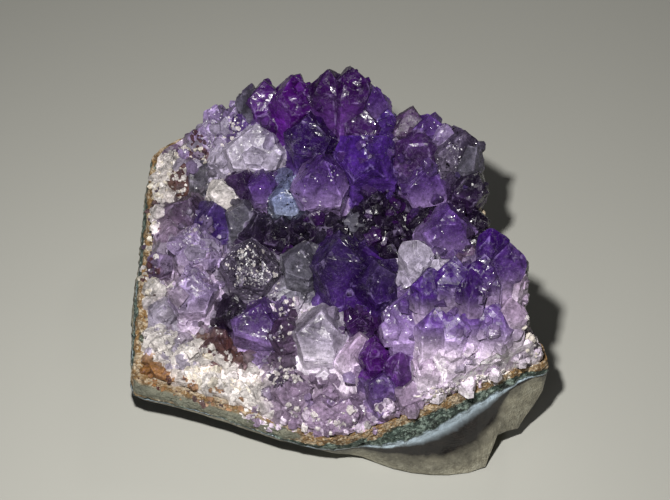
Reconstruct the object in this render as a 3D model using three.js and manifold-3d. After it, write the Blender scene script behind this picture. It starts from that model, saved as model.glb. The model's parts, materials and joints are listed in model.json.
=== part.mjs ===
// Amethyst geode fragment: a curved agate rind with a crust of violet quartz points grown on it.
// Millimetres, +Z up. The crystal side faces up and towards -Y, and +X runs along the front edge.

import * as THREE from 'three';
import { mergeVertices } from 'three/addons/utils/BufferGeometryUtils.js';
import Module from 'manifold-3d';

// Habit of quartz: the six rhombohedral faces of a point stand at this angle to the faces of its prism
const FACE_TO_AXIS = THREE.MathUtils.degToRad(38.2);

// Overall form
const CENTRE = new THREE.Vector2(0, -4); // the columns of both solids radiate from here
const COLUMNS_PER_POINT = 2; // columns between two measured points of the rim
const RIND_FLOOR = 6.5; // thickness of the rind in its middle
const BOWL = 2.6; // how late the inside of the rind turns up towards its rim
const SHELL = 1.25; // how the outside of the rind rises from its foot to the lip
const MIDDLE = new THREE.Vector3(-0.06, -5.38, 0); // middle of the outline in plan
const CONTACT_GAP = 0.3; // between the rind and the crust
const CRUST_TOP = 64; // above every crystal
const CRUST_FLARE = 5; // how far crystals may lean out over the rim at that height
const LIP_LEAST = 0.5; // lowest the broken edge reaches above the resting surface
const WALL_LAYERS = [0.3, 0.65, 1]; // rings down the broken edge of the rind
const RIND_RINGS = [0.25, 0.5, 0.7, 0.85, 1]; // rings of the inside of the rind
const BED_LEAST = 1.6; // least thickness of the crystal bed
const BED_INSETS = [0, 1.5, 4, 8, 13, 19, 26]; // rings of the crystal bed, in from its edge

// The rim of the rind as it runs round the piece, from the front right corner anticlockwise:
// x, y, height, height of the broken edge, foot as a part of the radius, bulge of the edge at
// its lower end, width of the bare ledge outside the crystals, steepness of the crystal bed
const RIM = [
  [46, -31.6, 21, 7, 0.8, -0.2, 1.2, 1.6],
  [43, -25, 22, 6, 0.76, 0, 1.2, 2],
  [40.5, -17, 23, 5.5, 0.74, 0, 1.2, 2.2],
  [38, -8, 24, 5, 0.72, 0, 1.2, 2.6],
  [35.5, 1, 25, 5, 0.7, 0, 1.2, 3],
  [33.5, 9, 26, 5, 0.7, 0, 1, 3],
  [30.5, 17, 27, 5, 0.7, 0, 1, 3.4],
  [24, 23, 28, 5, 0.7, 0.4, 1, 4],
  [16, 28, 28, 5.5, 0.68, 0.4, 1, 4.5],
  [8, 31, 28, 5.5, 0.66, 0, 1, 5],
  [-2, 33, 27, 5, 0.64, 0, 1, 5],
  [-12, 35, 26, 5, 0.64, 0, 1, 4.5],
  [-22, 36.5, 24, 4.5, 0.64, 0, 1, 3],
  [-32, 36, 22, 4.5, 0.64, 0.3, 1.2, 2],
  [-39, 33, 20.6, 4.5, 0.62, 0.5, 1.4, 1.4],
  [-43.4, 29, 20, 4.5, 0.62, 0.8, 1.6, 1],
  [-44, 20, 18, 4.5, 0.6, 1.2, 1.8, 0.9],
  [-44, 9, 16, 4.5, 0.6, 1.5, 2.2, 0.8],
  [-44.4, -3, 14.5, 4.5, 0.6, 1.5, 2.2, 0.8],
  [-44.4, -15, 13.2, 4.2, 0.6, 1.4, 2.4, 0.7],
  [-44.2, -25, 12.4, 3.6, 0.6, 1, 3.4, 0.5],
  [-43.9, -32.2, 12, 3.2, 0.6, 0.2, 5, 0.4],
  [-38.5, -34.2, 11.5, 3, 0.6, -0.2, 5, 0.4],
  [-30, -36.6, 10.8, 3, 0.62, -0.3, 4.4, 0.5],
  [-21, -39.6, 10.2, 3.2, 0.65, -0.3, 3.8, 0.6],
  [-12, -43, 10, 3.4, 0.7, -0.3, 2.8, 0.8],
  [-4, -45, 10.3, 4.5, 0.76, -0.6, 1.8, 1],
  [3, -45.4, 11.2, 9, 0.86, -2.4, 1.4, 1],
  [9, -44.2, 13, 12.4, 0.95, 0.2, 1.4, 1.1],
  [15, -42.6, 15.3, 14.8, 0.97, 4.6, 1.3, 1.2],
  [21, -41, 17.3, 16.9, 0.975, 7.4, 1.2, 1.3],
  [27.5, -38.7, 19, 18.3, 0.975, 8.6, 1.2, 1.4],
  [32.4, -37, 19.6, 13.6, 0.95, 4.4, 1.2, 1.5],
  [37, -35.2, 20.1, 15.9, 0.88, 4.2, 1.2, 1.5],
  [42, -33.3, 20.6, 11.6, 0.85, 2, 1.2, 1.5],
];

// The crystals that give the piece its look, by zone: tip x, y, z, half width across the prism,
// lean of the axis along x and y, and the bearing of one of the three large faces
const CRYSTALS = [
  // back left slope, from the pale corner to the ridge
  [-28, 31, 31, 5.6, 0.1, 0.1, 262],
  [-28, 34.5, 32, 3.6, 0, 0.2, 240],
  [-22.5, 32.5, 34.5, 4, 0, 0.15, 285],
  [-21.5, 29.5, 34.5, 3.4, 0.05, 0, 250],
  [-19, 32.5, 39, 4, -0.05, 0.1, 215],
  [-18, 22.5, 36, 6.4, 0.05, -0.12, 268],
  [-25.5, 23.5, 29, 4.2, 0.1, -0.1, 300],
  [-30, 22, 26, 4.2, 0.15, -0.05, 255],
  [-35, 22.5, 24, 3.4, 0.2, 0, 285],
  [-34, 28, 26, 3.6, 0.1, 0.1, 250],
  [-39, 24, 22, 2.6, 0.2, 0, 250],
  [-41, 20, 20.5, 2.2, 0.2, 0, 290],
  // ridge at the back
  [-16, 32, 42, 4.6, -0.08, 0.1, 275],
  [-13.5, 28.5, 38.5, 4.4, 0, -0.05, 262],
  [-8.5, 29.5, 46, 5.6, 0, 0.1, 284],
  [-1, 27.5, 50, 4.6, -0.04, 0.14, 250],
  [4, 27.5, 51, 5.2, 0.04, 0.14, 278],
  [9, 26, 47, 4.6, 0.16, 0.1, 300],
  [6, 22, 43.5, 4.6, 0.02, 0, 255],
  [11.5, 22.5, 42.5, 3.8, 0.1, 0, 268],
  [17, 22, 43.5, 4.6, 0.12, 0.1, 262],
  [21.5, 20, 43.5, 3.8, 0.1, 0.05, 285],
  [25, 18, 42.5, 2.8, 0.1, 0, 262],
  [28.5, 15.5, 43.5, 5.4, 0.16, 0.02, 290],
  [31.5, 12, 41, 4.2, 0.3, 0.02, 330],
  // large points of the middle row
  [-6, 20.5, 43, 6.2, -0.05, -0.08, 262],
  [-3, 10.5, 38, 6.8, 0, -0.14, 276],
  [8, 14.5, 43, 7.4, 0.02, -0.06, 90],
  [19.5, 15.5, 42.5, 6.6, 0.1, -0.1, 262],
  [21, 9.5, 38, 6, 0.08, -0.2, 282],
  [31.5, 7, 38.5, 4.8, 0.2, -0.1, 250],
  [-16.5, 13, 31.5, 3.8, 0.05, -0.15, 270],
  [-21.5, 15, 30, 3.6, 0.1, -0.1, 240],
  [-11, 9.5, 31.5, 5, 0, -0.2, 266],
  [-25.5, 13, 28.5, 4.2, 0.1, -0.15, 284],
  // dark recess and its small points
  [5, 3, 30, 3.2, 0, -0.1, 250],
  [13.5, 4.5, 33, 5.6, 0, -0.2, 300],
  [19, 1.5, 31.5, 3.6, 0, -0.1, 275],
  [9, 7, 31.5, 3.8, 0, -0.1, 262],
  [-17.5, 6.5, 26, 4.6, 0.05, -0.1, 300],
  [-12, 4.5, 26, 4.4, 0, -0.1, 255],
  [-6.5, 4, 28.5, 4.2, 0, -0.1, 280],
  [-1, 4, 27.5, 4.2, 0, -0.1, 262],
  [25, -3, 36.5, 6, 0.05, -0.1, 276],
  [13, -4, 27, 4, 0, -0.1, 250],
  [32, 2, 31, 3.4, 0.15, -0.05, 285],
  [33, -5, 32, 3.6, 0.1, 0, 255],
  [34, -11, 36, 3.2, 0.1, 0.1, 275],
  // left field
  [-21, 8, 26.5, 3.8, 0.1, -0.1, 262],
  [-34, 12, 24.5, 6.6, 0.14, -0.05, 245],
  [-27, 8.5, 25.5, 4.6, 0.1, -0.1, 290],
  [-41, 8.5, 19.5, 2.2, 0.2, -0.1, 262],
  [-37, 6, 21.5, 3.2, 0.2, -0.1, 285],
  [-31, 0, 25.5, 6, 0.12, -0.1, 266],
  [-31, -10, 23, 5.4, 0.08, -0.15, 275],
  [-40.5, -1, 19, 3.2, 0.1, -0.05, 250],
  [-40, -8, 18.5, 2.6, 0.2, -0.1, 290],
  [-38, -13, 17.5, 3.4, 0.15, -0.1, 262],
  [-18.5, -6, 27, 7, 0.05, -0.15, 264],
  [-23, -15, 20, 4, 0, -0.1, 290],
  [-16, -18, 22, 6.2, 0.05, -0.1, 255],
  [-10.5, -21.5, 21.5, 4.4, 0, -0.1, 285],
  [-25.5, -23, 17.5, 4.2, 0.1, -0.1, 262],
  [-37.5, -22, 15.5, 3, 0.1, 0, 250],
  [-32, -24, 15, 3, 0.1, 0, 285],
  [-26.5, -29.5, 13.5, 2.6, 0.1, 0, 262],
  [-19.5, -34, 13.5, 2.8, 0, 0, 275],
  [-41, -28, 13.8, 2, 0.1, 0, 240],
  // the large dark point of the middle and what stands round it
  [2, -9, 33, 9, -0.02, -0.12, 272],
  [-7, -6.5, 28, 5.2, 0, -0.1, 250],
  [9.5, -14, 31.5, 5, 0.05, -0.1, 290],
  [5.5, -22.5, 24, 3.2, 0, -0.1, 262],
  [-3.5, -24, 25.5, 6.4, 0, -0.1, 264],
  [5.5, -27, 23.5, 5.6, 0, -0.05, 276],
  [-9.5, -33, 17.5, 4.6, 0, 0, 285],
  [-3, -38, 16, 4.2, 0, 0.1, 262],
  [2.5, -39, 17, 4, 0, 0.1, 250],
  [9, -30, 25.5, 3.4, 0, 0, 275],
  [10.5, -35, 21.5, 4.4, 0, 0.1, 262],
  [15, -31, 27.5, 4.2, 0, 0.15, 285],
  // columns of the front right, seen from the side
  [15.5, -25.5, 37, 6, -0.05, 0.22, 262],
  [17, -13.5, 39.5, 3.6, -0.08, 0.1, 90],
  [20.5, -22.5, 42, 4.6, 0, 0.4, 275],
  [24.5, -21.5, 44, 4.6, 0, 0.45, 262],
  [28.5, -24, 43, 4.2, 0.04, 0.5, 284],
  [31.5, -21.5, 44.5, 4.8, 0.05, 0.5, 262],
  [33.5, -14.5, 45, 3.6, 0.1, 0.3, 300],
  [36.5, -20, 46, 5, 0.1, 0.4, 280],
  [37.5, -22.5, 43, 3.4, 0.1, 0.4, 262],
  [21.5, -28.5, 36.5, 4, 0, 0.4, 270],
  [25.5, -29, 37, 4.2, 0.02, 0.42, 255],
  [29.5, -28.5, 38, 4, 0.04, 0.42, 285],
  [34, -29, 38, 4.2, 0.06, 0.4, 262],
  [36.8, -28, 38.5, 3.8, 0.08, 0.35, 290],
  [20.5, -33, 29, 4.2, 0, 0.3, 262],
  [25, -32.5, 31, 4.4, 0.02, 0.35, 280],
  [30.5, -31.5, 31.5, 4.4, 0.04, 0.35, 262],
  [35, -31.5, 32, 4.2, 0.06, 0.3, 275],
  [38.8, -30, 32, 3.6, 0.1, 0.25, 255],
  [16.5, -38.5, 22, 3.8, 0, 0.1, 270],
  [22, -36.5, 23.5, 4, 0, 0.2, 255],
  [27.5, -35.5, 25, 4.2, 0, 0.2, 285],
  [32.5, -34.5, 26.5, 4, 0, 0.2, 262],
  [38, -33, 27, 3.6, 0, 0.15, 285],
  [42, -30.5, 26.5, 3, 0.1, 0.1, 262],
];

// Crystals that are broken at the top: row of the table above, lean of the broken face along x and
// y, and how far below the tip it passes
const BREAKS = new Map([
  [5, [-0.1, -0.75, 2.6]],
  [12, [0, -0.2, 1.5]],
  [14, [0.1, -0.3, 2]],
  [25, [0, -0.5, 1.6]],
  [27, [0.1, -0.35, 2.2]],
  [28, [-0.1, -0.3, 1.8]],
  [33, [0.1, -0.6, 1.4]],
  [34, [-0.1, -0.5, 1.2]],
  [43, [0.1, -0.5, 1.4]],
  [53, [0.1, -0.6, 1.8]],
  [54, [-0.1, -0.8, 1.5]],
  [58, [0.1, -0.7, 3]],
  [60, [-0.1, -0.9, 1.8]],
  [68, [0.15, -0.25, 2.6]],
  [72, [0.05, -0.6, 2.4]],
  [73, [0.25, -0.9, 1.8]],
  [80, [-0.35, -0.9, 1.8]],
]);

// Small points between them
const FILL_TRIES = 380;
const FILL_HALF = [1.5, 3];

const wasm = await Module();
wasm.setup();

/** Repeatable number between 0 and 1 for a whole number. */
function scatter(n) {
  const s = Math.sin(n * 12.9898 + 4.1414) * 43758.5453;
  return s - Math.floor(s);
}

/** Value of one column of the rim table at a place between its rows, along a closed smooth curve. */
function rimValue(place, field) {
  const count = RIM.length;
  const i = Math.floor(place);
  const f = place - i;
  const at = (k) => RIM[(k + count) % count][field];
  const [a, b, c, d] = [at(i - 1), at(i), at(i + 1), at(i + 2)];
  return b + 0.5 * f * (c - a + f * (2 * a - 5 * b + 4 * c - d + f * (3 * (b - c) + d - a)));
}

/** One radial column of the piece, with everything that is measured at the rim. */
function rimColumn(index, count) {
  const place = (index * RIM.length) / count;
  const [x, y, top, edge, foot, bulge, ledge, steep] = RIM[0].map((_, k) => rimValue(place, k));
  const rough = index % COLUMNS_PER_POINT === 0 ? 0 : 1;
  const out = new THREE.Vector2(x, y).sub(CENTRE);
  const radius = out.length() + rough * 0.7 * (scatter(index) - 0.5);
  return {
    direction: out.normalize(),
    radius,
    top: top + rough * 0.6 * (scatter(index + 500) - 0.5),
    edge: Math.min(edge, top - LIP_LEAST),
    foot,
    bulge,
    ledge,
    steep,
  };
}

const COLUMNS = Array.from({ length: RIM.length * COLUMNS_PER_POINT }, (_, i) =>
  rimColumn(i, RIM.length * COLUMNS_PER_POINT));

/** Point of a column at a distance from the centre and a height. */
function columnPoint(column, radius, z) {
  return new THREE.Vector3(
    CENTRE.x + column.direction.x * radius,
    CENTRE.y + column.direction.y * radius,
    z,
  );
}

/** Height of the inside of the rind, where part is the share of the way to the rim. */
function rindInside(column, part) {
  return RIND_FLOOR + (column.top - 0.9 - RIND_FLOOR) * Math.pow(part, BOWL);
}

/** Closed solid from a bottom pole, rings of equal count and a top pole. */
function ringSolid(bottom, rings, top) {
  const count = rings[0].length;
  const points = [bottom, ...rings.flat(), top];
  const index = [];
  const last = points.length - 1;
  for (let i = 0; i < count; i++) {
    const j = (i + 1) % count;
    index.push(0, 1 + j, 1 + i);
    for (let r = 0; r < rings.length - 1; r++) {
      const a = 1 + r * count + i;
      const b = 1 + r * count + j;
      index.push(a, b, b + count, a, b + count, a + count);
    }
    index.push(last, last - count + i, last - count + j);
  }
  const geometry = new THREE.BufferGeometry().setFromPoints(points);
  geometry.setIndex(index);
  return geometry;
}

/** Manifold of a closed geometry. */
function toSolid(geometry) {
  const plain = geometry.clone();
  plain.deleteAttribute('normal');
  plain.deleteAttribute('uv');
  const merged = mergeVertices(plain, 1e-5);
  return new wasm.Manifold(new wasm.Mesh({
    numProp: 3,
    vertProperties: new Float32Array(merged.attributes.position.array),
    triVerts: new Uint32Array(merged.index.array),
  }));
}

/** Geometry of a manifold. */
function toGeometry(solid) {
  const mesh = solid.getMesh();
  const geometry = new THREE.BufferGeometry();
  geometry.setAttribute('position', new THREE.BufferAttribute(mesh.vertProperties, 3));
  geometry.setIndex(new THREE.BufferAttribute(mesh.triVerts, 1));
  geometry.computeVertexNormals();
  return geometry;
}

/** Agate rind: inside bowl, bare ledge, broken edge with the chalcedony bulge, shell, flat foot. */
function rindGeometry() {
  const foot = COLUMNS.map((c) => columnPoint(c, (c.radius + c.bulge) * c.foot, 0));
  const shell = [0.35, 0.7].map((s) => COLUMNS.map((c) => {
    const share = c.foot + (1 - c.foot) * s;
    return columnPoint(c, (c.radius + c.bulge) * share, (c.top - c.edge) * Math.pow(s, SHELL));
  }));
  const wall = WALL_LAYERS.toReversed().map((w) => COLUMNS.map((c) =>
    columnPoint(c, c.radius + c.bulge * Math.pow(w, 1.3), c.top - c.edge * w)));
  const rim = COLUMNS.map((c) => columnPoint(c, c.radius - 0.4, c.top));
  const inside = RIND_RINGS.toReversed().map((part) => COLUMNS.map((c) =>
    columnPoint(c, (c.radius - c.ledge) * part, rindInside(c, part))));
  const bottom = new THREE.Vector3(CENTRE.x, CENTRE.y, 0);
  const top = new THREE.Vector3(CENTRE.x, CENTRE.y, RIND_FLOOR);
  return ringSolid(bottom, [foot, ...shell, ...wall, rim, ...inside], top);
}

/** Room of the crust: everything above the inside of the rind and within its ledge. */
function crustRoom() {
  const inside = RIND_RINGS.map((part) => COLUMNS.map((c) =>
    columnPoint(c, (c.radius - c.ledge) * part, rindInside(c, part) + CONTACT_GAP)));
  const lid = COLUMNS.map((c) => columnPoint(c, c.radius - c.ledge + CRUST_FLARE, CRUST_TOP));
  const bottom = new THREE.Vector3(CENTRE.x, CENTRE.y, RIND_FLOOR + CONTACT_GAP);
  const top = new THREE.Vector3(CENTRE.x, CENTRE.y, CRUST_TOP);
  return toSolid(ringSolid(bottom, [...inside, lid], top));
}

/** Height of the massive quartz under the points, from the points that stand near. */
function bedHeight(x, y) {
  let weight = 0;
  let sum = 0;
  for (const [cx, cy, cz, half] of CRYSTALS) {
    const w = 1 / ((x - cx) ** 2 + (y - cy) ** 2 + 9) ** 2;
    weight += w;
    sum += w * (cz - 1.25 * half - 2.6);
  }
  return sum / weight;
}

/** Massive quartz under the points, which falls away towards its edge. */
function bedSolid() {
  const low = COLUMNS.map((c) => columnPoint(c, c.radius - c.ledge - 0.2, 1));
  const surface = BED_INSETS.map((inset) => COLUMNS.map((c) => {
    const reach = c.radius - c.ledge - 0.2;
    const point = columnPoint(c, reach - inset, 0);
    const lowest = rindInside(c, (reach - inset) / reach) + CONTACT_GAP + BED_LEAST;
    const highest = c.top + 1.2 + c.steep * inset;
    point.z = Math.max(lowest, Math.min(bedHeight(point.x, point.y), highest));
    return point;
  }));
  const top = new THREE.Vector3(CENTRE.x, CENTRE.y, bedHeight(CENTRE.x, CENTRE.y));
  return toSolid(ringSolid(new THREE.Vector3(CENTRE.x, CENTRE.y, 1), [low, ...surface], top));
}

/** Quartz point: a six-sided prism closed by three large and three small rhombohedral faces. */
function quartzPoint([x, y, z, half, leanX, leanY, bearing], seed, broken) {
  const length = half * 2.2 + 12;
  const blank = new THREE.BoxGeometry(4 * half, 4 * half, length + 2);
  blank.translate(0, 0, -length / 2 + 1);
  let solid = toSolid(blank);
  for (let k = 0; k < 6; k++) {
    const turn = THREE.MathUtils.degToRad(bearing + 60 * k);
    const side = new THREE.Vector3(Math.cos(turn), Math.sin(turn), 0);
    const apothem = half * (0.8 + 0.34 * scatter(seed * 13 + k));
    solid = solid.trimByPlane(side.clone().negate().toArray(), -apothem);
    const face = side.clone().multiplyScalar(Math.cos(FACE_TO_AXIS));
    face.z = Math.sin(FACE_TO_AXIS);
    const offset = half * (k % 2 === 0
      ? 0.2 * (scatter(seed * 19 + k) - 0.5)
      : 0.04 + 0.42 * scatter(seed * 17 + k));
    solid = solid.trimByPlane(face.clone().negate().toArray(), -offset);
  }
  const axis = new THREE.Vector3(leanX, leanY, 1).normalize();
  const turn = new THREE.Quaternion().setFromUnitVectors(new THREE.Vector3(0, 0, 1), axis);
  const place = new THREE.Matrix4().compose(new THREE.Vector3(x, y, z), turn,
    new THREE.Vector3(1, 1, 1));
  solid = solid.transform(place.toArray());
  if (!broken) return solid;
  const normal = new THREE.Vector3(broken[0], broken[1], 1).normalize();
  const reach = normal.dot(new THREE.Vector3(x, y, z)) - broken[2];
  return solid.trimByPlane(normal.negate().toArray(), -reach);
}

/** Small points on an even scatter, wherever no large point stands. */
function fillCrystals() {
  const found = [];
  for (let i = 0; i < FILL_TRIES; i++) {
    const place = ((i * 0.7548776662466927) % 1) * RIM.length;
    const part = Math.sqrt((i * 0.5698402909980532) % 1);
    const out = new THREE.Vector2(rimValue(place, 0), rimValue(place, 1)).sub(CENTRE);
    const ledge = rimValue(place, 6);
    const point = out.clone().setLength((out.length() - ledge - 1.5) * part).add(CENTRE);
    const inset = (out.length() - ledge - 1.5) * (1 - part) + 1;
    const half = FILL_HALF[0] + (FILL_HALF[1] - FILL_HALF[0]) * scatter(i + 900);
    const clear = [...CRYSTALS, ...found].every(([cx, cy, , h]) =>
      Math.hypot(point.x - cx, point.y - cy) > 0.7 * (h + half));
    if (!clear) continue;
    const ground = Math.min(bedHeight(point.x, point.y),
      rimValue(place, 2) + 1.2 + rimValue(place, 7) * inset);
    const lean = out.normalize().multiplyScalar(-0.12);
    found.push([point.x, point.y, ground + 1.5 * half, half,
      lean.x + 0.3 * (scatter(i + 40) - 0.5), lean.y + 0.3 * (scatter(i + 70) - 0.5),
      120 * scatter(i + 300)]);
  }
  return found;
}

/** Crust: the bed and every point in one solid, kept to its room above the rind. */
function crustGeometry() {
  const points = [...CRYSTALS, ...fillCrystals()].map((crystal, i) =>
    quartzPoint(crystal, i + 1, BREAKS.get(i)));
  const crust = wasm.Manifold.union([bedSolid(), ...points]).intersect(crustRoom()).simplify(0.02);
  // pockets that close between points are filled, as they are in the massive quartz
  const shells = crust.decompose().sort((a, b) => b.volume() - a.volume());
  return toGeometry(shells[0]);
}

const piece = new THREE.Group();
piece.name = 'amethyst_geode';

const rind = new THREE.Mesh(rindGeometry(), new THREE.MeshStandardMaterial({
  color: '#6d675c', roughness: 0.8, metalness: 0,
}));
rind.geometry.computeVertexNormals();
rind.name = 'agate_rind';

const crust = new THREE.Mesh(crustGeometry(), new THREE.MeshStandardMaterial({
  color: '#6b4a93', roughness: 0.2, metalness: 0,
}));
crust.name = 'crystal_crust';

piece.add(rind, crust);
piece.position.copy(MIDDLE).negate();

export default piece;
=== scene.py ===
"""Amethyst geode fragment: the looks of its crystal crust, its milky druse and its agate rind.

Metres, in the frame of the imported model. The tables are in millimetres.
"""

from __future__ import annotations

import json
import logging
import math
import random
from collections.abc import Callable
from dataclasses import dataclass, field
from enum import Enum
from functools import partial

import bmesh
import bpy
import numpy as np
from mathutils import Matrix, Vector, noise
from mathutils.bvhtree import BVHTree
from mathutils.kdtree import KDTree

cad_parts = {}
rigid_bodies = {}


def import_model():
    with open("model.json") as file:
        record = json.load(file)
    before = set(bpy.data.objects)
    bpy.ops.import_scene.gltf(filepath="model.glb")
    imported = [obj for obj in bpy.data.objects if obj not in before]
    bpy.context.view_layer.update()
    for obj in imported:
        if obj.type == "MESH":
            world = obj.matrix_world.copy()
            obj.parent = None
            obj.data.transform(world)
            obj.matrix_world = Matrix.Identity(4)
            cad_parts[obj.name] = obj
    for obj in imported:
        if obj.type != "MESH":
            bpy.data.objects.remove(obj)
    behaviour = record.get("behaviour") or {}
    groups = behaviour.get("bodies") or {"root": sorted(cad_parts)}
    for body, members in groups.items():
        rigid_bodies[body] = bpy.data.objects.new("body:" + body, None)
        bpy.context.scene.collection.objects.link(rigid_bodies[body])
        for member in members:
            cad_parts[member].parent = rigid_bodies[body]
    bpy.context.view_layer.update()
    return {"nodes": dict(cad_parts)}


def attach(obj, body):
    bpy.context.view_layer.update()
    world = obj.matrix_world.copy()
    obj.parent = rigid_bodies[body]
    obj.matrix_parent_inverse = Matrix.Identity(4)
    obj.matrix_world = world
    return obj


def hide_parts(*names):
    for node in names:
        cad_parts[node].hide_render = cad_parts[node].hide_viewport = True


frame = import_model()

LOG = logging.getLogger("geode")
MM = 0.001
BODY = "root"
# middle of the outline in the drawing that the tables below are measured in
MIDDLE = Vector((-0.06, -5.38, 0.0))
QUARTZ_IOR = 1.544
AGATE_IOR = 1.54
# the rhombohedral faces of a quartz point stand at this angle to its prism
FACE_TO_AXIS = math.radians(38.2)
# a point in its half widths: reach of the prism faces, shift of the large and of the small end faces
PRISM_REACH = (0.8, 1.14)
LARGE_SHIFT = (-0.1, 0.1)
SMALL_SHIFT = (0.04, 0.46)
# a large point goes down by so many half widths, and by so many millimetres more
LENGTH_BY_HALF = 2.2
LENGTH_MORE = 12


def srgb(code: str) -> tuple[float, float, float, float]:
    """Turns an sRGB hex colour into linear values.

    Args:
        code: Six hex digits after a hash sign.

    Returns:
        Linear red, green and blue with an alpha of one.
    """
    parts = [int(code[i : i + 2], 16) / 255 for i in (1, 3, 5)]
    linear = [c / 12.92 if c <= 0.04045 else ((c + 0.055) / 1.055) ** 2.4 for c in parts]
    return (*linear, 1.0)


def scatter(n: float) -> float:
    """Gives a repeatable number between 0 and 1 for a whole number."""
    s = math.sin(n * 12.9898 + 4.1414) * 43758.5453
    return s - math.floor(s)


def smoothstep(
    low: float | np.ndarray, high: float | np.ndarray, value: float | np.ndarray
) -> float | np.ndarray:
    """Rises smoothly from 0 at low to 1 at high."""
    t = np.clip((value - low) / (high - low), 0, 1)
    return t * t * (3 - 2 * t)


def between(span: tuple[float, float], t: float | np.ndarray) -> float | np.ndarray:
    """Gives the value at t, from 0 to 1, between the two ends of a span."""
    return span[0] + (span[1] - span[0]) * t


def band(edges: tuple[float, float, float, float], value: np.ndarray) -> np.ndarray:
    """Rises to 1 between the first two edges and falls to 0 between the last two."""
    return smoothstep(*edges[:2], value) * (1 - smoothstep(*edges[2:], value))


def add_node(
    tree: bpy.types.NodeTree,
    kind: str,
    inputs: dict[str | int, object] | tuple[object, ...] = (),
    **settings: object,
) -> bpy.types.Node:
    """Adds a node with its settings, values and links.

    Args:
        tree: The node tree of a material.
        kind: The node's type name, after ShaderNode.
        inputs: Values, sockets or nodes by input name or number, or in the order of the inputs. A
            node stands for the first of its outputs that is in use.
        **settings: Properties of the node.

    Returns:
        The new node.
    """
    node = tree.nodes.new(f"ShaderNode{kind}")
    for name, value in settings.items():
        setattr(node, name, value)
    for key, value in inputs.items() if isinstance(inputs, dict) else enumerate(inputs):
        if isinstance(value, bpy.types.Node):
            value = next(socket for socket in value.outputs if socket.enabled)
        if isinstance(value, bpy.types.NodeSocket):
            tree.links.new(value, node.inputs[key])
        else:
            node.inputs[key].default_value = value
    return node


def new_material(name: str) -> tuple[bpy.types.Material, Callable[..., bpy.types.Node]]:
    """Starts a material.

    Args:
        name: The material's name.

    Returns:
        The material with an empty node tree, and add_node for that tree.
    """
    mat = bpy.data.materials.new(name)
    mat.use_nodes = True
    mat.node_tree.nodes.clear()
    return mat, partial(add_node, mat.node_tree)


class Tone(Enum):
    """Kinds of quartz in the crust, by colour and clearness.

    Each holds the colour at the tip, the colour at the root, how far down the point the fading
    starts and ends in millimetres, how clear it is, how much it glitters and how frosted it is.
    """

    DEEP = ("#220448", "#441a78", 3, 15, 0.40, 0.08, 0.05)
    VIVID = ("#440666", "#641c92", 3, 13, 0.25, 0.06, 0.06)
    BLUE = ("#421c80", "#583094", 3, 13, 0.40, 0.12, 0.08)
    PLUM = ("#2e0846", "#583078", 3, 12, 0.25, 0.08, 0.06)
    VIOLET = ("#502c7e", "#9c82b8", 2, 11, 0.40, 0.25, 0.15)
    LILAC = ("#9480b0", "#b8a6c2", 2, 10, 0.35, 0.40, 0.20)
    PALE = ("#aca4ba", "#bcb4c6", 2, 10, 0.28, 0.15, 0.30)
    ROSE = ("#947e9c", "#b4a2b8", 2, 10, 0.28, 0.20, 0.20)
    ICE = ("#8e869a", "#dad2e0", 3, 11, 0.25, 0.12, 0.25)
    FAIR = ("#ac94b4", "#dccee0", 2, 10, 0.25, 0.20, 0.25)
    MAUVE = ("#4c3058", "#7a647e", 2, 10, 0.45, 0.25, 0.45)
    SMOKE = ("#443c50", "#6a6274", 2, 10, 0.45, 0.75, 0.10)
    SAGE = ("#5a5866", "#7c7a86", 2, 10, 0.40, 0.20, 0.35)
    # near black; most of these points stand in the dark recess, where the tone is partly painted
    # shade
    DARK = ("#180826", "#361e4a", 2, 9, 0.55, 0.20, 0.10)
    RUST = ("#4a2220", "#70483a", 1, 7, 0.20, 0.25, 0.40)
    IRON = ("#94683a", "#704c2a", 1, 4, 0.00, 0.20, 0.60)
    BLUSH = ("#d0c0d6", "#eee4f0", 1, 6, 0.10, 0.20, 0.12)
    MILK = ("#ccc6c4", "#c6bebb", 1, 6, 0.06, 0.40, 0.30)
    CREAM = ("#d0c8ba", "#b09874", 1, 4, 0.05, 0.30, 0.50)
    SILVER = ("#8692be", "#969eb6", 2, 8, 0.45, 0.60, 0.10)
    COLUMN = ("#30085e", "#cab6d4", 5, 13.5, 0.12, 0.08, 0.45)
    COLUMN_MID = ("#4e2084", "#cebcd6", 2, 12, 0.20, 0.10, 0.30)
    COLUMN_DEEP = ("#2c0456", "#c2aace", 4, 14, 0.25, 0.08, 0.12)


(DEEP, VIVID, BLUE, PLUM, VIOLET, LILAC, PALE, ROSE, ICE, FAIR, MAUVE, SMOKE, SAGE, DARK,
 RUST, IRON, BLUSH, MILK, CREAM, SILVER, COLUMN, COLUMN_MID, COLUMN_DEEP) = Tone

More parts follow.
